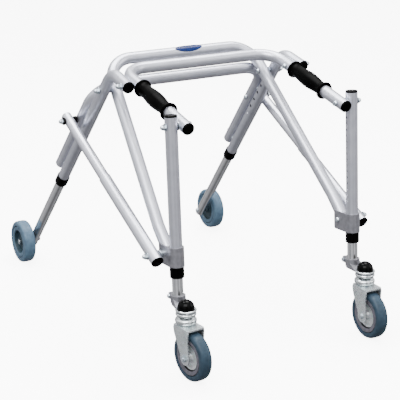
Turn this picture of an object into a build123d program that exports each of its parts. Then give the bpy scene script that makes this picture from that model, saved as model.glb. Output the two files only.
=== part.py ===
from build123d import *
from math import cos, hypot, radians, sin
import os

os.makedirs("parts", exist_ok=True)

# ---------------------------------------------------------------- dimensions (mm)
# +X is the right-hand side, -Y is the front (swivel casters), +Z is up, floor at z = 0.

# tube stock
TUBE_R = 12.7            # 1 in frame tube
TUBE_BORE = 11.2
SLIDE_R = 11.125         # 7/8 in telescoping tube, running fit in the frame tube
SLIDE_BORE = 9.6
STRUT_R = 12.7           # outer tube of the folding strut
STRUT_BORE = 11.2
ROD_R = 11.125           # sliding tube of the strut
ROD_BORE = 9.6

# pivots of the folding linkage, side view (y, z)
P1 = (-95.0, 534.6)      # handle frame on the rear frame
P5 = (11.5, 502.0)       # brace frame on the rear frame
F1 = (-289.8, 495.64)    # front post on the handle frame
F2 = (-280.0, 235.0)     # brace end and strut on the post bracket
P4 = (117.6, 415.0)      # strut on the rear U tube

# handle frame
HANDLE_X = 184.0
HANDLE_SLOPE = 0.20      # rise per mm of depth
HANDLE_FRONT_Y = -308.0
HANDLE_REAR_Y = -22.0
HANDLE_CORNER_R = 50.0

# brace frame
BRACE_SLOPE = 0.915
BRACE_X_TOP = 177.2      # arm at the cross bar
BRACE_X_P5 = 183.35      # arm at the P5 bolt
BRACE_REAR_Y = 66.0
BRACE_STRAIGHT_Y = -236.0
BRACE_CORNER_R = 60.0
BRACE_SLOT_R = 7.0       # opened pivot at the lower end
BRACE_END_R = 12.0

# front posts
POST_X = 211.3
POST_LEAN = (27.0, 327.0)
POST_TOP_Z = 514.5
POST_END_Z = 198.0
BRACKET_Z = (216.5, 256.5)

# rear legs and axles
WHEEL_R = 50.8           # 4 in wheels all round
REAR_AXLE = (382.0, 50.8)
LEG_X_TOP = 210.9
LEG_X_AXLE = 234.0
STUB_END = (211.1, -105.0)
LEG_BEND_R = 50.0
LEG_TUBE_END = 334.0     # along the leg from P5
REAR_WHEEL_X = 262.0
REAR_WHEEL_W = 28.0

# rear U tube
U_OFFSET = 28.0
U_TOP = 19.9
U_BOTTOM = 302.5
U_CORNER_R = 65.0

# strut
STRUT_X = 247.0
STRUT_STEP = 239.3       # end of the outer tube, along the strut from F2
ROD_START = 160.0

# front casters
STEM = (215.5, -358.4)
FRONT_AXLE = (-382.0, 50.8)
FRONT_WHEEL_W = 26.0
CASTER_TURN = 7.0        # the left caster rests turned a little about its stem

# fasteners
BOLT_R = 3.0
FIT = 0.06               # running clearance of a pivot pin, radial

# ---------------------------------------------------------------- helpers


def rod(p, q, radius):
    """Solid cylinder between two points."""
    p, q = Vector(*p), Vector(*q)
    base = Plane(origin=p, z_dir=q - p)
    length = (q - p).length
    return base * Cylinder(radius, length, align=(Align.CENTER, Align.CENTER, Align.MIN))


def ring(p, q, outer, inner):
    """Straight hollow cylinder between two points."""
    return rod(p, q, outer) - rod(p, q, inner)


def x_rod(y, z, x0, x1, radius):
    return rod((x0, y, z), (x1, y, z), radius)


def x_ring(y, z, x0, x1, outer, inner):
    return ring((x0, y, z), (x1, y, z), outer, inner)


def bent_tube(points, corner_r, outer, inner):
    """Round tube swept along a filleted polyline."""
    path = FilletPolyline(*points, radius=corner_r)
    start = Vector(*points[0])
    plane = Plane(origin=start, z_dir=Vector(*points[1]) - start)
    return sweep(plane * (Circle(outer) - Circle(inner)), path=path)


def group(*solids):
    """Several separate solids kept in one node."""
    flat = []
    for item in solids:
        flat.extend(item.solids())
    return Compound(children=flat)


def turned(profile, plane):
    """Closed (radius, height) outline turned about the plane's z axis."""
    outline = Polyline(*[(r, 0, h) for r, h in profile], close=True)
    face = make_face(outline)
    return plane * revolve(face, axis=Axis.Z)


def bolt(y, z, x_head, x_seat, radius=BOLT_R):
    """Button-head bolt along +X whose acorn nut sits at x_seat."""
    along = Plane(origin=(x_head, y, z), z_dir=(1, 0, 0), x_dir=(0, 1, 0))
    grip = x_seat - x_head
    screw = turned(
        [(0, -4.2), (2.6, -4.0), (4.6, -3.0), (5.8, -1.2), (6.0, 0),
         (radius, 0), (radius, grip + 6.5), (0, grip + 6.5)],
        along,
    )
    seat = Plane(origin=(x_seat, y, z), z_dir=(1, 0, 0), x_dir=(0, 1, 0))
    nut = seat * extrude(RegularPolygon(5.8, 6), 5.0)
    dome = turned(
        [(0, 4.9), (4.6, 4.9), (4.4, 6.6), (3.6, 8.2), (2.2, 9.3), (0, 9.8)],
        seat,
    )
    bore = seat * Cylinder(radius + 0.05, 7.0, align=(Align.CENTER, Align.CENTER, Align.MIN))
    return [screw, nut + dome - bore]


def washer(y, z, x0, x1, outer, inner=BOLT_R + 0.1):
    return x_ring(y, z, x0, x1, outer, inner)


def export_pair(shape, name):
    """Write the right-hand part and its mirror image."""
    export_step(shape, f"parts/{name}_right.step")
    export_step(mirror(shape, about=Plane.YZ), f"parts/{name}_left.step")


def export_caster(shape, name):
    """Like export_pair, with the left part turned about its stem."""
    export_step(shape, f"parts/{name}_right.step")
    stem = Pos(-STEM[0], STEM[1], 0)
    turned_left = stem * Rot(0, 0, CASTER_TURN) * stem.inverse() * mirror(shape, about=Plane.YZ)
    export_step(turned_left, f"parts/{name}_left.step")


def both(*solids):
    """Right-hand solids together with their mirror images, as one group."""
    whole = group(*solids)
    return group(whole, mirror(whole, about=Plane.YZ))


# ---------------------------------------------------------------- handle frame


def handle_z(y):
    return F1[1] + HANDLE_SLOPE * (y - F1[0])


handle_path = [
    (HANDLE_X, HANDLE_FRONT_Y, handle_z(HANDLE_FRONT_Y)),
    (HANDLE_X, HANDLE_REAR_Y, handle_z(HANDLE_REAR_Y)),
    (-HANDLE_X, HANDLE_REAR_Y, handle_z(HANDLE_REAR_Y)),
    (-HANDLE_X, HANDLE_FRONT_Y, handle_z(HANDLE_FRONT_Y)),
]
handle_tube = bent_tube(handle_path, HANDLE_CORNER_R, TUBE_R, TUBE_BORE)
for side in (1, -1):
    for pivot in (P1, F1):
        handle_tube -= x_rod(*pivot, side * 165, side * 205, BOLT_R + FIT)
export_step(handle_tube, "parts/handle_tube.step")

handle_dir = Vector(0, 1, HANDLE_SLOPE).normalized()


def on_handle(y):
    """Plane on the right handle arm at depth y, z axis towards the rear."""
    origin = (HANDLE_X, y, handle_z(y))
    return Plane(origin=origin, x_dir=(1, 0, 0), z_dir=handle_dir)


GRIP_Y = (-231.0, -114.0)
grip_len = (GRIP_Y[1] - GRIP_Y[0]) / handle_dir.Y
grip_rings = [
    (0.0, 17.0), (0.8, 18.0), (4.2, 18.0), (5.2, 16.8), (6.5, 15.2),
    (18.0, 14.6), (27.0, 15.6), (36.0, 16.9), (47.0, 17.0), (56.0, 15.9),
    (62.0, 15.2), (69.0, 15.7), (78.0, 16.8), (89.0, 17.0), (99.0, 15.6),
    (106.0, 14.7), (grip_len - 6.5, 15.2), (grip_len - 5.2, 16.8),
    (grip_len - 4.2, 18.0), (grip_len - 0.8, 18.0), (grip_len, 17.0),
]
grip_profile = [(TUBE_R, 0.0)] + [(r, h) for h, r in grip_rings] + [(TUBE_R, grip_len)]
grip = turned(grip_profile, on_handle(GRIP_Y[0]))
export_pair(grip, "grip")



def plug(plane, depth=12.0):
    """Domed plug for a frame tube, z axis pointing out of the tube."""
    return turned(
        [(0, -depth), (TUBE_BORE, -depth), (TUBE_BORE, 0), (TUBE_R, 0),
         (TUBE_R, 1.6), (11.6, 3.6), (8.0, 4.8), (0, 5.2)],
        plane,
    )


front_end = Vector(*handle_path[0])
plug_plane = Plane(origin=front_end, x_dir=(1, 0, 0), z_dir=-handle_dir)

screw_at = on_handle(-270.0)
screw_plane = Plane(origin=screw_at.origin, x_dir=(1, 0, 0), z_dir=-screw_at.y_dir)
if screw_plane.z_dir.Z > 0:
    screw_plane = Plane(origin=screw_at.origin, x_dir=(1, 0, 0), z_dir=screw_at.y_dir)
grip_screw = turned(
    [(0, TUBE_R - 1.0), (3.6, TUBE_R - 1.0), (3.6, TUBE_R + 1.4),
     (2.6, TUBE_R + 2.4), (0, TUBE_R + 2.8)],
    screw_plane,
)
handle_trim = both(plug(plug_plane), grip_screw - handle_tube)
export_step(handle_trim, "parts/handle_trim.step")

# ---------------------------------------------------------------- brace frame


def brace_z(y):
    return F2[1] + BRACE_SLOPE * (y - F2[0])


brace_dir = Vector(0, 1, BRACE_SLOPE).normalized()
brace_end_y = F2[0] - 13.0 * brace_dir.Y
brace_path = [
    (POST_X, brace_end_y, brace_z(brace_end_y)),
    (POST_X, BRACE_STRAIGHT_Y, brace_z(BRACE_STRAIGHT_Y)),
    (BRACE_X_TOP, BRACE_REAR_Y, brace_z(BRACE_REAR_Y)),
]
brace_path += [(-x, y, z) for x, y, z in reversed(brace_path)]
brace_tube = bent_tube(brace_path, BRACE_CORNER_R, TUBE_R, TUBE_BORE)
for side in (1, -1):
    brace_tube -= x_rod(*P5, side * 165, side * 205, BOLT_R + FIT)
    brace_tube -= x_rod(*F2, side * 195, side * 230, BRACE_SLOT_R)
end_block = Plane(origin=(0, *F2), x_dir=(1, 0, 0), z_dir=-brace_dir) * Box(
    500, 40, 30, align=(Align.CENTER, Align.CENTER, Align.MIN)
)
brace_tube -= end_block - x_rod(*F2, -250, 250, BRACE_END_R)
export_step(brace_tube, "parts/brace_tube.step")

BADGE_X = (-15.0, 51.0)
badge_mid = ((BADGE_X[0] + BADGE_X[1]) / 2, BRACE_REAR_Y, brace_z(BRACE_REAR_Y))
badge_shell = ring(
    (BADGE_X[0], *badge_mid[1:]), (BADGE_X[1], *badge_mid[1:]), TUBE_R + 1.1, TUBE_R
)
badge_face = Plane(origin=badge_mid, x_dir=(1, 0, 0), z_dir=(0, -0.55, 0.835))
badge_cut = badge_face * extrude(Ellipse(33.0, 9.2), 20.0)
export_step(badge_shell & badge_cut, "parts/badge.step")

# ---------------------------------------------------------------- rear frame

leg_top = Vector(LEG_X_TOP, *P5)
leg_foot = Vector(LEG_X_AXLE, *REAR_AXLE)
leg_dir = (leg_foot - leg_top).normalized()
leg_rear = Vector(0, -leg_dir.Z, leg_dir.Y).normalized()


def leg_at(s, off=0.0):
    """Point s mm down the right leg axis, off mm to its rear."""
    return leg_top + leg_dir * s + leg_rear * off


# the leg bends into a short stub lying beside the handle tube
bend_s = (handle_z(P5[0]) - P5[1]) / (leg_dir.Z - HANDLE_SLOPE * leg_dir.Y)
bend_pt = leg_at(bend_s)
leg_path = [
    (STUB_END[0], STUB_END[1], handle_z(STUB_END[1])),
    tuple(bend_pt),
    tuple(leg_at(LEG_TUBE_END)),
]
rear_leg = bent_tube(leg_path, LEG_BEND_R, TUBE_R, TUBE_BORE)
rear_leg -= x_rod(*P1, 190, 232, BOLT_R + 0.05)
rear_leg -= x_rod(*P5, 190, 232, BOLT_R + 0.05)
for k in range(5):
    hole = leg_at(57.0 + 25.4 * k)
    rear_leg -= x_rod(hole.Y, hole.Z, hole.X - 20, hole.X, 3.6)

U_JOINTS = (88.0, 284.0)
for s in U_JOINTS:
    rear_leg -= rod(leg_at(s), leg_at(s, 20), BOLT_R + 0.05)
export_pair(rear_leg, "rear_leg")

u_path = [
    tuple(leg_at(U_BOTTOM, U_OFFSET)),
    tuple(leg_at(U_TOP, U_OFFSET)),
]
u_path += [(-x, y, z) for x, y, z in reversed(u_path)]
rear_u = bent_tube(u_path, U_CORNER_R, TUBE_R, TUBE_BORE)
u_rivets = []
for s in U_JOINTS:
    far = U_OFFSET + TUBE_R + 4
    hole = rod(leg_at(s, 8), leg_at(s, far), BOLT_R + 0.05)
    rear_u -= hole + mirror(hole, about=Plane.YZ)
    rivet = rod(leg_at(s, TUBE_BORE + 0.35), leg_at(s, U_OFFSET + TUBE_R), BOLT_R)
    rivet += rod(leg_at(s, U_OFFSET + TUBE_R - 0.1), leg_at(s, U_OFFSET + TUBE_R + 1.8), 5.0)
    seat_ring = ring(leg_at(s, TUBE_R), leg_at(s, U_OFFSET - TUBE_R), 6.5, BOLT_R + 0.1)
    u_rivets += [rivet - rear_u, seat_ring]
# strut bolt position on the U tube
u_s = (leg_at(0, U_OFFSET).Z - P4[1]) / -leg_dir.Z
U_X_P4 = leg_at(u_s, U_OFFSET).X
for side in (1, -1):
    rear_u -= x_rod(*P4, side * 195, side * 235, BOLT_R + 0.05)
export_step(rear_u, "parts/rear_u_tube.step")

stub_end = Vector(*leg_path[0])
stub_plane = Plane(origin=stub_end, z_dir=stub_end - bend_pt)
u_end_plane = Plane(origin=Vector(*u_path[0]), z_dir=leg_dir)
export_step(both(*u_rivets, plug(u_end_plane)), "parts/u_tube_joints.step")
collar_plane = Plane(origin=leg_at(LEG_TUBE_END), z_dir=leg_dir)
collar = turned(
    [(TUBE_R, -19.0), (14.0, -19.0), (14.6, -18.0), (14.6, 4.0), (13.8, 5.5),
     (SLIDE_R + 0.4, 5.5), (SLIDE_R + 0.4, 0), (TUBE_R, 0)],
    collar_plane,
)
rear_trim = both(plug(stub_plane, 5.0), collar)
export_step(rear_trim, "parts/rear_trim.step")

HEAD_X = HANDLE_X - TUBE_R - 0.6
stub_x = stub_end.X + (P1[0] - STUB_END[1]) * (bend_pt.X - stub_end.X) / (bend_pt.Y - stub_end.Y)
rear_bolts = bolt(*P1, HEAD_X, stub_x + TUBE_R + 1.5)
rear_bolts += [washer(*P1, stub_x + TUBE_R + 0.3, stub_x + TUBE_R + 1.45, 7.5)]
rear_bolts += [washer(*P1, HANDLE_X + TUBE_R + 0.35, stub_x - TUBE_R - 0.3, 7.0)]
rear_bolts += bolt(*P5, BRACE_X_P5 - TUBE_R - 1.1, LEG_X_TOP + TUBE_R + 1.6)
rear_bolts += [washer(*P5, LEG_X_TOP + TUBE_R + 0.4, LEG_X_TOP + TUBE_R + 1.55, 7.5)]
head = bolt(*P4, U_X_P4 - TUBE_R - 0.35, U_X_P4 + TUBE_R)[0]
rear_bolts += [head & x_rod(*P4, U_X_P4 - 30, U_X_P4 + TUBE_R - 0.3, 12)]

rear_bolts += [washer(*P5, BRACE_X_P5 + TUBE_R + 1.1, LEG_X_TOP - TUBE_R - 0.35, 7.0)]
export_step(both(*rear_bolts), "parts/rear_bolts.step")

# rear height slide and axle
rear_inner = ring(leg_at(150.0), leg_at(596.0), SLIDE_R, SLIDE_BORE)
AXLE_R = 4.0
rear_inner -= x_rod(*REAR_AXLE, 210, 260, AXLE_R + 0.05)
export_pair(rear_inner, "rear_inner_tube")

rear_face = REAR_WHEEL_X - REAR_WHEEL_W / 2
axle_plane = Plane(origin=(0, *REAR_AXLE), z_dir=(1, 0, 0), x_dir=(0, 1, 0))
tube_in = LEG_X_AXLE - SLIDE_R - 0.35
tube_out = LEG_X_AXLE + SLIDE_R + 0.35
rear_axle = turned(
    [(0, tube_in - 4.0), (3.4, tube_in - 3.6), (5.4, tube_in - 1.6), (5.6, tube_in),
     (AXLE_R, tube_in), (AXLE_R, 274.0), (0, 274.0)],
    axle_plane,
)
rear_spacer = x_ring(*REAR_AXLE, tube_out, rear_face - 0.1, 8.0, AXLE_R + 0.05)
nut_plane = Plane(origin=(268.4, *REAR_AXLE), z_dir=(1, 0, 0), x_dir=(0, 1, 0))
rear_nut = nut_plane * extrude(RegularPolygon(7.4, 6), 5.0)
rear_nut -= x_rod(*REAR_AXLE, 266, 276, AXLE_R + 0.05)
export_pair(group(rear_axle, rear_spacer, rear_nut), "rear_axle")


# ---------------------------------------------------------------- wheels


def wheel(name, x, axle, width, boss_in, boss_out, recess):
    """Tyre and hub turned about the axle; the hub has a recessed web."""
    plane = Plane(origin=(x, *axle), z_dir=(1, 0, 0), x_dir=(0, 1, 0))
    half = width / 2
    outer = [
        (36.0, -half + 1.0), (38.0, -half), (44.0, -half), (47.2, -half + 0.9),
        (49.4, -half + 3.0), (50.5, -half + 6.0), (WHEEL_R, -half + 9.0),
    ]
    tyre = turned(outer + [(r, -h) for r, h in reversed(outer)], plane)
    web = [
        (AXLE_R + FIT, -boss_in), (10.0, -boss_in), (11.0, 1.0 - boss_in),
        (12.5, -half + 4.0), (27.0, -half + 4.0), (28.0, -half + 1.4),
        (36.0, -half + 1.4), (36.0, half - 1.4), (28.0, half - 1.4),
        (27.0, half - recess), (12.5, half - recess), (11.0, boss_out - 1.0),
        (10.0, boss_out), (AXLE_R + FIT, boss_out),
    ]
    hub = turned(web, plane)
    save = export_caster if name == "front" else export_pair
    save(tyre, f"{name}_tyre")
    save(hub, f"{name}_hub")


wheel("rear", REAR_WHEEL_X, REAR_AXLE, REAR_WHEEL_W, 13.7, 6.0, 10.0)
wheel("front", STEM[0], FRONT_AXLE, FRONT_WHEEL_W, 17.2, 17.2, 4.0)

# ---------------------------------------------------------------- front posts

post_len = hypot(*POST_LEAN)
post_up = Vector(0, POST_LEAN[0] / post_len, POST_LEAN[1] / post_len)


def post_at(z):
    """Point on the right post axis at height z."""
    return Vector(POST_X, F1[0] + (z - F1[1]) * POST_LEAN[0] / POST_LEAN[1], z)


post = ring(post_at(POST_END_Z), post_at(POST_TOP_Z), TUBE_R, TUBE_BORE)
post -= x_rod(*F1, 190, 230, BOLT_R + 0.05)
for k in range(15):
    hole = post_at(285.0 + 12.7 * k)
    post -= x_rod(hole.Y, hole.Z, POST_X - 20, POST_X, 2.0)
export_pair(post, "front_post")

cap_plane = Plane(origin=post_at(POST_TOP_Z), x_dir=(1, 0, 0), z_dir=post_up)
cap = turned(
    [(0, -12.0), (TUBE_BORE, -12.0), (TUBE_BORE, 0), (TUBE_R, 0), (TUBE_R, 3.0),
     (12.2, 3.6), (0, 3.8)],
    cap_plane,
)
lower_plane = Plane(origin=post_at(POST_END_Z), x_dir=(1, 0, 0), z_dir=-post_up)
front_collar = turned(
    [(TUBE_R, -18.0), (14.0, -18.0), (14.5, -17.2), (14.5, 3.0), (13.8, 4.2),
     (SLIDE_R + 0.4, 4.2), (SLIDE_R + 0.4, 0), (TUBE_R, 0)],
    lower_plane,
)
export_pair(group(cap, front_collar), "post_trim")

# channel bracket wrapped round the post, arms to the rear
PLATE = 2.6
ARM_IN = 13.2
mid = post_at((BRACKET_Z[0] + BRACKET_Z[1]) / 2)
low = post_at(BRACKET_Z[0])
bracket_plane = Plane(origin=low, x_dir=(1, 0, 0), z_dir=post_up)
bracket_h = (BRACKET_Z[1] - BRACKET_Z[0]) / post_up.Z
reach = (F2[0] + 13.0) - mid.Y
shell_2d = Circle(ARM_IN + PLATE) + Pos(0, reach / 2) * Rectangle(2 * (ARM_IN + PLATE), reach)
void_2d = Circle(TUBE_R) + Pos(0, 15 + reach / 2) * Rectangle(2 * ARM_IN, reach)
void_2d += Pos(0, reach) * Rectangle(2 * ARM_IN, reach)
bracket = bracket_plane * extrude(shell_2d - void_2d, bracket_h)
side_len = reach + ARM_IN + PLATE + 20.0
side_view = Plane(origin=(POST_X, mid.Y, mid.Z), x_dir=(0, post_up.Z, -post_up.Y), z_dir=(1, 0, 0))
side_view *= Pos(reach - side_len / 2, 0)
bracket &= side_view * extrude(RectangleRounded(side_len, bracket_h, 5.0), 30, both=True)
bracket -= x_rod(*F2, 190, 235, BOLT_R + 0.05)
export_pair(bracket, "bracket")

ARM_OUT = POST_X + ARM_IN + PLATE
post_bolts = bolt(*F1, HEAD_X, POST_X + TUBE_R + 1.3)
post_bolts += [washer(*F1, POST_X + TUBE_R + 0.1, POST_X + TUBE_R + 1.2, 7.5)]
post_bolts += [washer(*F1, HANDLE_X + TUBE_R + 0.4, POST_X - TUBE_R - 0.05, 9.0)]
post_bolts += bolt(*F2, POST_X - ARM_IN - PLATE - 0.05, STRUT_X + STRUT_R + 1.6)
post_bolts += [washer(*F2, ARM_OUT + 0.02, STRUT_X - STRUT_R - 0.4, 8.0)]
post_bolts += [washer(*F2, STRUT_X + STRUT_R + 0.4, STRUT_X + STRUT_R + 1.55, 7.5)]
export_pair(group(*post_bolts), "post_bolts")

# ---------------------------------------------------------------- front height slide

front_inner = ring(post_at(145.0), post_at(320.0), SLIDE_R, SLIDE_BORE)
export_pair(front_inner, "front_inner_tube")

CLAMP_Z = (137.5, 142.5)
BOSS_Z = (142.0, 157.5)
rear_low, rear_high = post_at(BOSS_Z[0]), post_at(BOSS_Z[1])
rear_boss = rod(rear_low, rear_high, 15.4)
front_boss = rod((*STEM, CLAMP_Z[0]), (*STEM, CLAMP_Z[1]), 18.2)
arm_plan = make_hull(
    [*(Pos(*STEM) * Circle(15.5)).edges(), *(Pos(rear_low.X, rear_low.Y) * Circle(13.5)).edges()]
)
arm_slab = Pos(0, 0, CLAMP_Z[0]) * extrude(arm_plan, BOSS_Z[1] - CLAMP_Z[0] - 2.0)
slope_plane = Plane(origin=(STEM[0], STEM[1] + 17.6, CLAMP_Z[1]), x_dir=(1, 0, 0), z_dir=(0, -0.5, 0.87))
over_arm = Box(80, 80, 30, align=(Align.CENTER, Align.MAX, Align.MIN))
arm_slab -= slope_plane * Pos(0, 40, 0) * over_arm
arm_slab -= Pos(STEM[0], STEM[1] + 17.6, CLAMP_Z[1]) * over_arm
lug = Pos(POST_X, rear_low.Y + 18.0, 150.0) * Box(18.0, 13.0, 13.0)
lug += x_rod(rear_low.Y + 19.5, 150.0, POST_X - 9.0, POST_X + 9.0, 6.5)
stem_clamp = rear_boss + front_boss + arm_slab + lug
stem_clamp -= rod(post_at(145.0), post_at(180.0), SLIDE_R)
stem_clamp -= Pos(POST_X, rear_low.Y + 22.0, 151.0) * Box(2.0, 26.0, 24.0)
STEM_R = 5.0
stem_clamp -= rod((*STEM, 130), (*STEM, 146), STEM_R + FIT)
CLAMP_SCREW = (rear_low.Y + 19.5, 150.0)
stem_clamp -= x_rod(*CLAMP_SCREW, POST_X - 20, POST_X + 20, 2.55)
export_pair(stem_clamp, "stem_clamp")

screw_plane = Plane(origin=(POST_X - 9.05, *CLAMP_SCREW), z_dir=(1, 0, 0), x_dir=(0, 1, 0))
clamp_screw = turned(
    [(0, -4.4), (3.2, -4.2), (4.6, -3.0), (4.8, 0), (2.5, 0), (2.5, 22.6), (0, 22.6)],
    screw_plane,
)
clamp_nut = extrude(
    Plane(origin=(POST_X + 9.05, *CLAMP_SCREW), z_dir=(1, 0, 0)) * RegularPolygon(4.6, 6), 4.0
)
clamp_nut -= x_rod(*CLAMP_SCREW, POST_X, POST_X + 20, 2.55)
export_pair(group(clamp_screw, clamp_nut), "clamp_screw")

stem_plane = Plane(origin=(*STEM, 0), z_dir=(0, 0, 1))
CAP_R = 17.3
CAP_WALL = 3.0
cap_base, cap_mid = CLAMP_Z[1], CLAMP_Z[1] + 3.4
dome = [(CAP_R * cos(radians(a)), cap_mid + CAP_R * sin(radians(a))) for a in range(0, 90, 6)]
hollow_r = CAP_R - CAP_WALL
hollow = [(hollow_r * cos(radians(a)), cap_mid + hollow_r * sin(radians(a))) for a in range(0, 90, 10)]
stem_cap = turned(
    [(hollow_r, cap_base), (CAP_R, cap_base)] + dome + [(0, cap_mid + CAP_R)]
    + [(0, cap_mid + hollow_r)] + hollow[::-1],
    stem_plane,
)
upper_ring = turned(
    [(STEM_R + FIT, 129.0), (17.4, 129.0), (19.8, 130.8), (20.8, 132.9), (20.7, 135.1),
     (19.5, 136.8), (17.4, CLAMP_Z[0]), (STEM_R + FIT, CLAMP_Z[0])],
    stem_plane,
)
export_pair(stem_cap, "stem_cap")
export_pair(upper_ring, "upper_race")

# ---------------------------------------------------------------- caster

lower_ring = turned(
    [(STEM_R + 0.02, 111.5), (17.2, 111.5), (19.4, 114.0), (21.2, 116.6), (21.9, 119.6),
     (21.6, 122.4), (20.0, 124.8), (17.6, 126.2), (16.4, 127.8), (STEM_R + 0.02, 127.8)],
    stem_plane,
)
export_caster(lower_ring, "lower_race")

CHEEK_IN = 17.9
CHEEK_T = 2.6
CROWN_Z = (108.3, 111.5)
CROWN_Y = (STEM[1] - 35.0, STEM[1] + 16.0)
crown_w = 2 * (CHEEK_IN + CHEEK_T)
crown = Pos(STEM[0], (CROWN_Y[0] + CROWN_Y[1]) / 2, CROWN_Z[0]) * extrude(
    Rectangle(crown_w, CROWN_Y[1] - CROWN_Y[0]), CROWN_Z[1] - CROWN_Z[0]
)
crown = fillet(crown.edges().filter_by(Axis.Z), 4.0)
cheek_side = Plane(origin=(STEM[0] + CHEEK_IN, 0, 0), x_dir=(0, 1, 0), z_dir=(1, 0, 0))
CHEEK_R = 14.5
web_pts = [
    (CROWN_Y[0] + 4, CROWN_Z[1] - 0.6), (CROWN_Y[1] - 4, CROWN_Z[1] - 0.6),
    (CROWN_Y[1] - 1, CROWN_Z[0] - 2.0), (CROWN_Y[1] - 4, CROWN_Z[0] - 14.0),
    (FRONT_AXLE[0] + 14.2, FRONT_AXLE[1] + 3.0), (FRONT_AXLE[0] - 14.2, FRONT_AXLE[1] + 3.0),
    (CROWN_Y[0] + 2, CROWN_Z[0] - 24.0), (CROWN_Y[0] + 1, CROWN_Z[0] - 2.0),
]
cheek_2d = make_face(Polyline(*web_pts, close=True)) + Pos(*FRONT_AXLE) * Circle(CHEEK_R)
cheek = cheek_side * extrude(cheek_2d, CHEEK_T)
cheek += mirror(cheek, about=Plane(origin=(STEM[0], 0, 0), z_dir=(1, 0, 0)))
stem_pin = rod((*STEM, CROWN_Z[1] - 1), (*STEM, 150.0), STEM_R)
stem_head = Pos(*STEM, CLAMP_Z[1] + 0.5) * extrude(RegularPolygon(8.6, 6), 6.5)
fork = crown + cheek + stem_pin + stem_head
fork -= x_rod(*FRONT_AXLE, STEM[0] - 30, STEM[0] + 30, AXLE_R + 0.02)
export_caster(fork, "caster_fork")

fork_out = CHEEK_IN + CHEEK_T + 0.1
front_axle_plane = Plane(origin=(STEM[0], *FRONT_AXLE), z_dir=(1, 0, 0), x_dir=(0, 1, 0))
front_axle = turned(
    [(0, -fork_out - 4.0), (3.4, -fork_out - 3.6), (5.6, -fork_out - 1.8), (6.0, -fork_out),
     (AXLE_R, -fork_out), (AXLE_R, fork_out + 5.6), (0, fork_out + 5.6)],
    front_axle_plane,
)
axle_nut = front_axle_plane * Pos(0, 0, fork_out) * extrude(RegularPolygon(7.0, 6), 4.6)
axle_nut -= x_rod(*FRONT_AXLE, STEM[0], STEM[0] + 40, AXLE_R + 0.05)
export_caster(group(front_axle, axle_nut), "front_axle")

# ---------------------------------------------------------------- folding strut

strut_low = Vector(STRUT_X, *F2)
strut_high = Vector(STRUT_X, *P4)
strut_dir = (strut_high - strut_low).normalized()
strut_down = Vector(0, strut_dir.Z, -strut_dir.Y)
P4_S = (strut_high - strut_low).length


def strut_at(s, off=0.0):
    """Point s mm up the strut from F2, off mm to its underside."""
    return strut_low + strut_dir * s + strut_down * off


strut_outer = ring(strut_at(-20.0), strut_at(STRUT_STEP), STRUT_R, STRUT_BORE)
strut_outer -= x_rod(*F2, STRUT_X - 20, STRUT_X + 20, BOLT_R + FIT)
BUTTON_S = STRUT_STEP - 11.0
strut_outer -= rod(strut_at(BUTTON_S), strut_at(BUTTON_S, 20), 3.56)
export_pair(strut_outer, "strut_outer")

strut_plug_plane = Plane(origin=strut_at(-20.0), z_dir=strut_dir * -1)
strut_plug = turned(
    [(0, -8.0), (STRUT_BORE, -8.0), (STRUT_BORE, 0), (STRUT_R, 0), (STRUT_R, 1.4),
     (9.6, 3.0), (6.0, 3.8), (0, 4.0)],
    strut_plug_plane,
)
export_pair(strut_plug, "strut_plug")

button_plane = Plane(origin=strut_at(BUTTON_S), z_dir=strut_down)
button = turned(
    [(0, ROD_R + 0.45), (3.5, ROD_R + 0.45), (3.5, STRUT_R + 0.4), (4.8, STRUT_R + 0.4),
     (4.8, STRUT_R + 2.0), (3.6, STRUT_R + 3.2), (0, STRUT_R + 3.6)],
    button_plane,
)
export_pair(button, "strut_button")

strut_rod = ring(strut_at(ROD_START), strut_at(P4_S + 16.0), ROD_R, ROD_BORE)
strut_rod -= x_rod(*P4, STRUT_X - 20, STRUT_X + 20, BOLT_R + 0.05)
export_pair(strut_rod, "strut_rod")

bush_face = U_X_P4 + TUBE_R + 0.95
rod_in, rod_out = STRUT_X - ROD_R - 0.05, STRUT_X + ROD_R + 0.05
pivot_bush = group(
    washer(*P4, bush_face, rod_in, 8.5, BOLT_R + 0.05),
    washer(*P4, rod_out, rod_out + 3.6, 8.5, BOLT_R + 0.05),
)
export_pair(pivot_bush, "strut_bush")
stud = x_rod(*P4, bush_face + 0.4, rod_out + 9.5, BOLT_R)
nut = bolt(*P4, STRUT_X, rod_out + 3.65)[1]
export_pair(group(stud, nut), "strut_nut")
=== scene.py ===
import math

import bmesh
import bpy
from mathutils import Matrix, Vector


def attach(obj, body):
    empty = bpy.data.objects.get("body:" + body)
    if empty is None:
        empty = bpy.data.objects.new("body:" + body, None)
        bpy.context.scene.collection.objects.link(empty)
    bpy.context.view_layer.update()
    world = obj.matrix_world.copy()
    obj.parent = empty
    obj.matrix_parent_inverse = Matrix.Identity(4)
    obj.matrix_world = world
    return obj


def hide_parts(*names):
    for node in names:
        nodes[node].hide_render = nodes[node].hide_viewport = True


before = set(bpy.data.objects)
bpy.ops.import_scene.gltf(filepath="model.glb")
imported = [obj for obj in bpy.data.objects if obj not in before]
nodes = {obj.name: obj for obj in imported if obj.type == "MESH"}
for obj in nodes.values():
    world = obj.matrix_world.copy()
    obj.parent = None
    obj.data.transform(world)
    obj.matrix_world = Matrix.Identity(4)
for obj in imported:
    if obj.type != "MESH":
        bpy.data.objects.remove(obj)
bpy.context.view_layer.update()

# ------------------------------------------------------------------ sizes from the CAD, in mm

MM = 1000.0                              # millimetres in a metre
SIDES = (("right", 1), ("left", -1))     # name and sign of X

HANDLE_X = 184.0
HANDLE_SLOPE = 0.2                       # rise of the handle per unit towards the rear
GRIP_START = (-231.0, 507.4)             # Y and Z of a grip's front end on the handle's centre line
GRIP_LEN = 119.3
GRIP_BORE = 12.75

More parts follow.
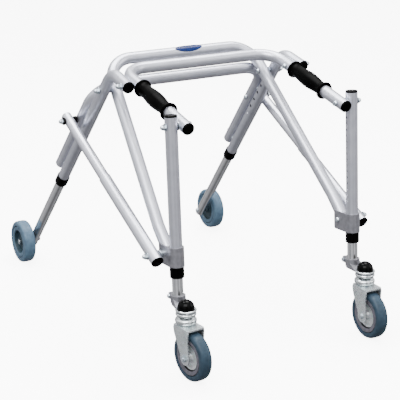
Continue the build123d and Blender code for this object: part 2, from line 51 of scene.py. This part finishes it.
STEM_X, STEM_Y = 215.5, -358.4           # caster stem
TRAIL = 23.6                             # front axle ahead of its stem, along -Y when straight
LEFT_CASTER_TURN = math.radians(7.0)
REAR_X, REAR_Y = 262.0, 382.0            # centre of a rear wheel
WHEEL_R = 50.8                           # also the height of every axle
AXLE_BORE = 4.06
BOSS_R, BOSS_EDGE = 10.0, 0.6
DISC_R = 26.5

# ------------------------------------------------------------------ materials

GRAIN_RATIO = 6.0        # fine grain against the broad mottling
SPECK_RATIO = 3.0        # specks against the broad mottling
RELIEF_DEPTH = 0.0004    # metres


def rgba(hex_code):
    """sRGB hex to a linear colour."""
    channels = [int(hex_code[i:i + 2], 16) / 255 for i in (0, 2, 4)]
    linear = [c / 12.92 if c <= 0.04045 else ((c + 0.055) / 1.055) ** 2.4 for c in channels]
    return (*linear, 1.0)


def material(name, dark, light, rough, metal, scale, bump,
             rough_span=0.12, spec=0.5, speck=0.0, bevel=0.0, glow=0.0):
    """Procedural finish: two tones, uneven roughness, fine bump, optional specks and soft edges.

    Scale is in features per metre, bevel is the radius of the soft edges in metres.
    """
    mat = bpy.data.materials.new(name)
    mat.use_nodes = True
    new, link = mat.node_tree.nodes.new, mat.node_tree.links.new
    shader = mat.node_tree.nodes["Principled BSDF"]
    shader.inputs["Metallic"].default_value = metal
    shader.inputs["Specular IOR Level"].default_value = spec
    shader.inputs["Emission Color"].default_value = (1, 1, 1, 1)
    shader.inputs["Emission Strength"].default_value = glow
    position = new("ShaderNodeTexCoord").outputs["Object"]

    def noise(noise_scale, detail):
        node = new("ShaderNodeTexNoise")
        node.inputs["Scale"].default_value = noise_scale
        node.inputs["Detail"].default_value = detail
        link(position, node.inputs["Vector"])
        return node.outputs["Fac"]

    mottle = noise(scale, detail=6.0)
    grain = noise(scale * GRAIN_RATIO, detail=4.0)

    tone = new("ShaderNodeValToRGB")
    for stop, at, hex_code in zip(tone.color_ramp.elements, (0.3, 0.7), (dark, light)):
        stop.position = at
        stop.color = rgba(hex_code)
    link(mottle, tone.inputs["Fac"])
    colour = tone.outputs["Color"]
    if speck:
        cells = new("ShaderNodeTexVoronoi")
        cells.inputs["Scale"].default_value = scale * SPECK_RATIO
        link(position, cells.inputs["Vector"])
        mix = new("ShaderNodeMixRGB")
        mix.blend_type = "OVERLAY"
        mix.inputs["Fac"].default_value = speck
        link(colour, mix.inputs["Color1"])
        link(cells.outputs["Color"], mix.inputs["Color2"])
        soft = new("ShaderNodeHueSaturation")
        soft.inputs["Saturation"].default_value = 0.35
        link(mix.outputs["Color"], soft.inputs["Color"])
        colour = soft.outputs["Color"]
    link(colour, shader.inputs["Base Color"])

    span = new("ShaderNodeMapRange")
    span.inputs["To Min"].default_value = max(0.02, rough - rough_span / 2)
    span.inputs["To Max"].default_value = rough + rough_span / 2
    link(grain, span.inputs["Value"])
    link(span.outputs["Result"], shader.inputs["Roughness"])

    relief = new("ShaderNodeBump")
    relief.inputs["Strength"].default_value = bump
    relief.inputs["Distance"].default_value = RELIEF_DEPTH
    link(grain, relief.inputs["Height"])
    if bevel:
        edge = new("ShaderNodeBevel")
        edge.samples = 4
        edge.inputs["Radius"].default_value = bevel
        link(edge.outputs["Normal"], relief.inputs["Normal"])
    link(relief.outputs["Normal"], shader.inputs["Normal"])
    return mat


# metal tube, plate, bolts and castings
TUBE = material("satin tube", "bfc1cb", "cbcdd6", rough=0.36, metal=0.9, scale=40, bump=0.02,
                rough_span=0.08)
SLIDE = material("slide tube", "cfd0d3", "dddee0", rough=0.15, metal=0.95, scale=70, bump=0.02,
                 rough_span=0.06)
ZINC = material("zinc plate", "a0b5be", "bfd2d9", rough=0.27, metal=0.8, scale=70, bump=0.03,
                speck=0.12, bevel=0.0006)
BOLT = material("bolt zinc", "aab4bc", "d6dfe6", rough=0.18, metal=0.95, scale=150, bump=0.04,
                bevel=0.0004)
CHROME = material("bright ring", "c2cacc", "e6eaec", rough=0.08, metal=1.0, scale=120, bump=0.01,
                  rough_span=0.05)
CAST = material("light casting", "7d7d83", "919198", rough=0.34, metal=0.75, scale=120, bump=0.08,
                bevel=0.0008)

# black plastic and foam
BLACK = material("black moulding", "010101", "030303", rough=0.3, metal=0.0, scale=180, bump=0.08,
                 spec=0.03, bevel=0.0005)
CAP = material("domed cap", "000000", "010102", rough=0.07, metal=0.0, scale=120, bump=0.02,
               rough_span=0.04, spec=0.07)
GRIP = material("grip foam", "000000", "020202", rough=0.32, metal=0.0, scale=240, bump=0.08,
                spec=0.02)

# wheels and badge
TYRE_F = material("front tyre", "24333f", "2f404e", rough=0.46, metal=0.0, scale=90, bump=0.12,
                  spec=0.2)
RING = material("tyre side ring", "4b4a53", "615f68", rough=0.5, metal=0.0, scale=120, bump=0.1,
                spec=0.25)
TYRE_R = material("rear tyre", "415669", "50687b", rough=0.46, metal=0.0, scale=90, bump=0.12,
                  spec=0.25)
HUB_R = material("rear hub", "203038", "2f434e", rough=0.42, metal=0.0, scale=120, bump=0.08,
                 spec=0.25)
DISC = material("hub disc", "a9bcc4", "d8e4e8", rough=0.3, metal=0.7, scale=140, bump=0.05,
                speck=0.3)
DARK = material("shadow gap", "0a0b0d", "15171a", rough=0.6, metal=0.0, scale=150, bump=0.1,
                spec=0.2)
BADGE = material("blue badge", "01123f", "022058", rough=0.25, metal=0.0, scale=200, bump=0.03,
                 spec=0.2)

# ------------------------------------------------------------------ CAD nodes

# finish of each node, by its name without the side
FINISH = {
    "rear_leg": TUBE, "rear_u_tube": TUBE, "brace_tube": TUBE, "handle_tube": TUBE,
    "front_post": TUBE, "strut_outer": TUBE, "strut_rod": TUBE,
    "rear_inner_tube": SLIDE, "front_inner_tube": SLIDE,
    "rear_trim": BLACK, "handle_trim": BLACK, "post_trim": BLACK, "strut_plug": BLACK,
    "strut_bush": BLACK, "stem_cap": CAP, "grip": GRIP, "badge": BADGE,
    "rear_bolts": BOLT, "u_tube_joints": BOLT, "post_bolts": BOLT, "clamp_screw": BOLT,
    "strut_nut": BOLT, "strut_button": BOLT, "rear_axle": BOLT, "front_axle": BOLT,
    "bracket": CAST, "stem_clamp": CAST, "upper_race": CHROME, "lower_race": CHROME,
    "caster_fork": ZINC, "front_tyre": TYRE_F, "front_hub": DISC,
    "rear_tyre": TYRE_R, "rear_hub": HUB_R,
}
for name, node in nodes.items():
    node.data.materials.clear()
    node.data.materials.append(FINISH[name.removesuffix("_right").removesuffix("_left")])

# ------------------------------------------------------------------ turned pieces

SEGMENTS = 96       # round a full turn
SOFT_EDGE = 0.0003  # metres


def lathe(name, profile, centre, axis, mat, closed=True):
    """Mesh turned about an axis through centre; profile is (radius, height along it), in mm."""
    axis = Vector(axis).normalized()
    side = axis.orthogonal().normalized()
    up = axis.cross(side)
    bm = bmesh.new()
    rings = []
    for k in range(SEGMENTS):
        angle = 2 * math.pi * k / SEGMENTS
        out = side * math.cos(angle) + up * math.sin(angle)
        rings.append([bm.verts.new((Vector(centre) + out * r + axis * h) / MM) for r, h in profile])
    count = len(profile)
    for here, ahead in zip(rings, rings[1:] + rings[:1]):
        for i in range(count if closed else count - 1):
            j = (i + 1) % count
            bm.faces.new((here[i], here[j], ahead[j], ahead[i]))
    bmesh.ops.remove_doubles(bm, verts=bm.verts, dist=1e-6)
    bmesh.ops.recalc_face_normals(bm, faces=bm.faces)
    mesh = bpy.data.meshes.new(name)
    bm.to_mesh(mesh)
    bm.free()
    for poly in mesh.polygons:
        poly.use_smooth = True
    mesh.materials.append(mat)
    obj = bpy.data.objects.new(name, mesh)
    bpy.context.scene.collection.objects.link(obj)
    edges = obj.modifiers.new("edges", "BEVEL")
    edges.width = SOFT_EDGE
    edges.segments = 2
    edges.limit_method = "ANGLE"
    edges.angle_limit = math.radians(35)
    return obj


def place(obj, body, slot_name, *replaced):
    """Tie a piece to its body and hide the CAD nodes it stands in for; slot_name is not used."""
    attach(obj, body)
    if replaced:
        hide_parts(*replaced)


def smooth_profile(points, steps=5):
    """Catmull-Rom outline through the given (height, radius) stations."""
    out = []
    padded = [points[0], *points, points[-1]]
    for i in range(1, len(padded) - 2):
        p0, p1, p2, p3 = (Vector(p) for p in padded[i - 1:i + 3])
        for k in range(steps):
            t = k / steps
            out.append(tuple(0.5 * (
                2 * p1 + (p2 - p0) * t + (2 * p0 - 5 * p1 + 4 * p2 - p3) * t * t
                + (3 * p1 - p0 - 3 * p2 + p3) * t ** 3
            )))
    return out + [points[-1]]


# ------------------------------------------------------------------ grips

# (height, radius) stations: an end flange, then one palm swell between two waists
FLANGE = [
    (0.0, 17.4), (0.25, 18.2), (0.8, 18.8), (1.5, 19.0), (3.2, 19.0), (4.0, 18.7), (4.6, 18.0),
    (5.1, 16.6),
]
GRIP_BODY = [
    (5.6, 15.2), (9, 14.2), (16, 13.8), (24, 14.2), (34, 15.3), (46, 16.5), (58, 17.0),
    (70, 16.6), (82, 15.6), (94, 14.4), (103, 13.8), (110, 14.2), (113.7, 15.2),
]

outline = [(0.0, GRIP_BORE), *FLANGE, *smooth_profile(GRIP_BODY)]
outline += [(GRIP_LEN - h, r) for h, r in reversed(FLANGE)] + [(GRIP_LEN, GRIP_BORE)]
grip_profile = [(r, h) for h, r in outline]
for side, sx in SIDES:
    start = (sx * HANDLE_X, *GRIP_START)
    grip = lathe(f"grip_body_{side}", grip_profile, start, (0, 1, HANDLE_SLOPE), GRIP)
    place(grip, "handle_frame", "grip_foam", f"grip_{side}")

# ------------------------------------------------------------------ caster caps and rings

# (radius, height above the floor)
CAP_FOOT, CAP_MID = 142.6, 146.4    # underside, and where the dome starts to round over
CAP_R, CAP_RISE = 17.3, 16.4
HOLLOW_R, HOLLOW_RISE = 14.4, 13.4
quarter = [math.pi / 36 * k for k in range(18)]
DOME = [(HOLLOW_R, CAP_FOOT), (17.0, CAP_FOOT)]
DOME += [(CAP_R * math.cos(a), CAP_MID + CAP_RISE * math.sin(a)) for a in quarter]
DOME += [(0.0, CAP_MID + CAP_RISE), (0.0, CAP_MID + HOLLOW_RISE)]
DOME += [(HOLLOW_R * math.sin(a), CAP_MID + HOLLOW_RISE * math.cos(a)) for a in quarter[1:]]
CAP_RING = [
    (18.4, 142.4), (16.9, 142.7), (16.9, 143.5), (19.4, 144.0), (21.0, 143.2), (21.5, 141.6),
    (21.0, 140.0), (19.6, 139.0), (18.4, 138.7),
]
UPPER_RING = [
    (5.3, 137.4), (17.2, 137.4), (19.5, 136.7), (20.7, 135.1), (20.8, 132.9), (19.8, 131.2),
    (17.4, 130.3), (16.2, 129.4), (5.3, 129.4),
]
LOWER_RING = [
    (5.1, 127.6), (16.2, 127.6), (17.6, 125.8), (20.0, 124.8), (21.6, 122.4), (21.9, 119.6),
    (21.2, 116.6), (19.4, 114.2), (17.6, 112.8), (17.0, 111.6), (5.1, 111.6),
]
for side, sx in SIDES:
    stem_foot = (sx * STEM_X, STEM_Y, 0.0)
    slide, caster = f"front_slide_{side}", f"caster_{side}"
    for name, profile, mat, body, slot_name, *replaced in (
        ("dome_cap", DOME, CAP, slide, "black_plastic", f"stem_cap_{side}"),
        ("cap_ring", CAP_RING, CHROME, slide, "chrome"),
        ("upper_ring", UPPER_RING, CHROME, slide, "chrome", f"upper_race_{side}"),
        ("lower_ring", LOWER_RING, CHROME, caster, "chrome", f"lower_race_{side}"),
    ):
        piece = lathe(f"{name}_{side}", profile, stem_foot, (0, 0, 1), mat)
        place(piece, body, slot_name, *replaced)

# ------------------------------------------------------------------ wheels

# dished face of the hub: radius, and depth below the face
DISH = [
    (BOSS_R, 0.2), (12.4, -0.1), (15.0, 0.0), (18.5, 0.5), (21.0, 1.4), (23.6, 1.6), (25.6, 0.7),
    (DISC_R, 1.2),
]


def wheel(prefix, side, centre, axis, half, boss_in, boss_out, recess, mats):
    """Tyre, two side rings, rim and dished hub with a boss.

    The axis points outwards, half is half the width, boss_in and boss_out are how far the boss
    reaches either way, and recess is how deep the outer face of the hub lies.
    """
    tyre_mat, ring_mat, hub_mat, gap_mat = mats

    def turned(name, profile, mat, slot_name, *replaced):
        piece = lathe(f"{prefix}_{name}_{side}", profile, centre, axis, mat)
        place(piece, f"{prefix}_wheel_{side}", slot_name, *replaced)

    tread = [
        (38.6, -half + 0.3), (40.0, -half), (44.6, -half + 0.1), (47.2, -half + 0.9),
        (49.1, -half + 2.4), (50.2, -half + 4.8), (50.65, -half + 7.5),
    ]
    tread += [(WHEEL_R, 0)] + [(r, -h) for r, h in reversed(tread)]
    turned("tyre_body", tread, tyre_mat, "tyre", f"{prefix}_tyre_{side}")

    side_ring = [
        (28.6, half - 3.0), (28.8, half - 1.6), (29.6, half - 0.9), (32.5, half - 0.7),
        (35.0, half - 0.5), (36.4, half - 0.45), (36.9, half - 0.8), (36.9, half - 3.4),
        (28.6, half - 3.4),
    ]
    for sign, tag in ((-1, "in"), (1, "out")):
        turned(f"side_ring_{tag}", [(r, sign * h) for r, h in side_ring], ring_mat, "hub")

    face = half - recess
    rim = [
        (28.5, -half + 2.2), (28.5, half - 2.2), (27.4, half - 2.2), (27.0, face),
        (26.6, face - 2.5), (26.6, -half + 6.5), (27.0, -half + 4.0), (27.4, -half + 2.2),
    ]
    turned("rim", rim, gap_mat, "hub")

    disc = [(AXLE_BORE, -boss_in), (BOSS_R - BOSS_EDGE, -boss_in), (BOSS_R, -boss_in + BOSS_EDGE)]
    disc += [(r, -half + 4.1 + depth) for r, depth in DISH] + [(DISC_R, face - 3.0)]
    disc += [(r, face - 0.1 - depth) for r, depth in reversed(DISH)]
    disc += [(BOSS_R, boss_out - BOSS_EDGE), (BOSS_R - BOSS_EDGE, boss_out), (AXLE_BORE, boss_out)]
    turned("hub_disc", disc, hub_mat, "hub", f"{prefix}_hub_{side}")


for side, sx in SIDES:
    turn = LEFT_CASTER_TURN if side == "left" else 0.0
    front = (sx * STEM_X + TRAIL * math.sin(turn), STEM_Y - TRAIL * math.cos(turn), WHEEL_R)
    outward = (sx * math.cos(turn), sx * math.sin(turn), 0)
    wheel("front", side, front, outward, half=13.0, boss_in=17.2, boss_out=17.2, recess=4.0,
          mats=(TYRE_F, RING, DISC, DARK))
    wheel("rear", side, (sx * REAR_X, REAR_Y, WHEEL_R), (sx, 0, 0), half=14.0, boss_in=13.7,
          boss_out=6.0, recess=10.0, mats=(TYRE_R, TYRE_R, HUB_R, HUB_R))

# ------------------------------------------------------------------ floor and backdrop

scene = bpy.context.scene
FLOOR_SIZE = 50                                                      # metres
SWEEP = [(18000, 0), (20500, 700), (21500, 2500), (21500, 16000)]    # (radius, height) in mm
paper = material("studio floor", "f6f6f6", "fbfbfb", rough=0.8, metal=0.0, scale=3, bump=0.02,
                 spec=0.1, glow=7.0)
bpy.ops.mesh.primitive_plane_add(size=FLOOR_SIZE)
floor = bpy.context.object
floor.name = "floor"
floor.data.materials.append(paper)
backdrop = lathe("backdrop", SWEEP, (0, 0, 0), (0, 0, 1), paper, closed=False)
backdrop.visible_shadow = False
# white ground that neither lights the object nor shows in it
for stage in (floor, backdrop):
    stage.visible_diffuse = False
    stage.visible_glossy = False

# ------------------------------------------------------------------ room light and softboxes

STRIPES = 7.0                # phase of the sky's stripes per unit of the direction's X
STRIPE_RANGE = (1.4, 3.2)    # strength between and on the stripes


def striped_sky():
    """Room light, dim from below and bright overhead, with stripes along X for the tubes."""
    world = bpy.data.worlds.new("studio")
    world.use_nodes = True
    new, link = world.node_tree.nodes.new, world.node_tree.links.new
    background = world.node_tree.nodes["Background"]
    direction = new("ShaderNodeSeparateXYZ")
    link(new("ShaderNodeTexCoord").outputs["Generated"], direction.inputs["Vector"])

    height = new("ShaderNodeMapRange")
    height.inputs["From Min"].default_value = -1.0
    ramp = new("ShaderNodeValToRGB")
    ramp.color_ramp.elements[0].color = (0.11, 0.11, 0.115, 1)
    ramp.color_ramp.elements[1].color = (1.0, 1.0, 1.0, 1)
    ramp.color_ramp.elements.new(0.5).color = (0.30, 0.30, 0.308, 1)
    link(direction.outputs["Z"], height.inputs["Value"])
    link(height.outputs["Result"], ramp.inputs["Fac"])
    link(ramp.outputs["Color"], background.inputs["Color"])

    phase = new("ShaderNodeMath")
    phase.operation = "MULTIPLY"
    phase.inputs[1].default_value = STRIPES
    wave = new("ShaderNodeMath")
    wave.operation = "SINE"
    strength = new("ShaderNodeMapRange")
    strength.inputs["From Min"].default_value = -1.0
    strength.inputs["To Min"].default_value, strength.inputs["To Max"].default_value = STRIPE_RANGE
    link(direction.outputs["X"], phase.inputs[0])
    link(phase.outputs["Value"], wave.inputs[0])
    link(wave.outputs["Value"], strength.inputs["Value"])
    link(strength.outputs["Result"], background.inputs["Strength"])
    return world


def softbox(name, location, size, power):
    """Rectangular lamp aimed at the middle of the walker; metres and watts."""
    data = bpy.data.lights.new(name, "AREA")
    data.shape = "RECTANGLE"
    data.size, data.size_y = size
    data.energy = power
    obj = bpy.data.objects.new(name, data)
    obj.location = location
    aim = Vector((0, 0, 0.3)) - Vector(location)
    obj.rotation_euler = aim.to_track_quat("-Z", "Y").to_euler()
    scene.collection.objects.link(obj)


scene.world = striped_sky()
softbox("key", (-1.2, -1.6, 2.5), size=(2.2, 1.6), power=105)
softbox("fill", (2.4, -1.6, 1.6), size=(1.4, 1.8), power=25)
softbox("top", (0.2, 0.6, 2.6), size=(2.4, 1.2), power=110)

# ------------------------------------------------------------------ camera, fitted to the photo

CAMERA_AT = (-1.3410, -2.4161, 1.1585)
YAW, PITCH, ROLL = math.radians(29.32), math.radians(18.618), math.radians(0.335)

forward = Vector((
    math.sin(YAW) * math.cos(PITCH), math.cos(YAW) * math.cos(PITCH), -math.sin(PITCH)
))
level_right = Vector((math.cos(YAW), -math.sin(YAW), 0))
level_up = level_right.cross(forward)
right = level_right * math.cos(ROLL) + level_up * math.sin(ROLL)
up = level_up * math.cos(ROLL) - level_right * math.sin(ROLL)
lens = bpy.data.cameras.new("camera")
lens.lens = 117.0
lens.sensor_width = 36.0
lens.clip_start = 0.05
camera = bpy.data.objects.new("camera", lens)
rows = [(right[i], up[i], -forward[i], CAMERA_AT[i]) for i in range(3)]
camera.matrix_world = Matrix((*rows, (0, 0, 0, 1)))
scene.collection.objects.link(camera)
scene.camera = camera
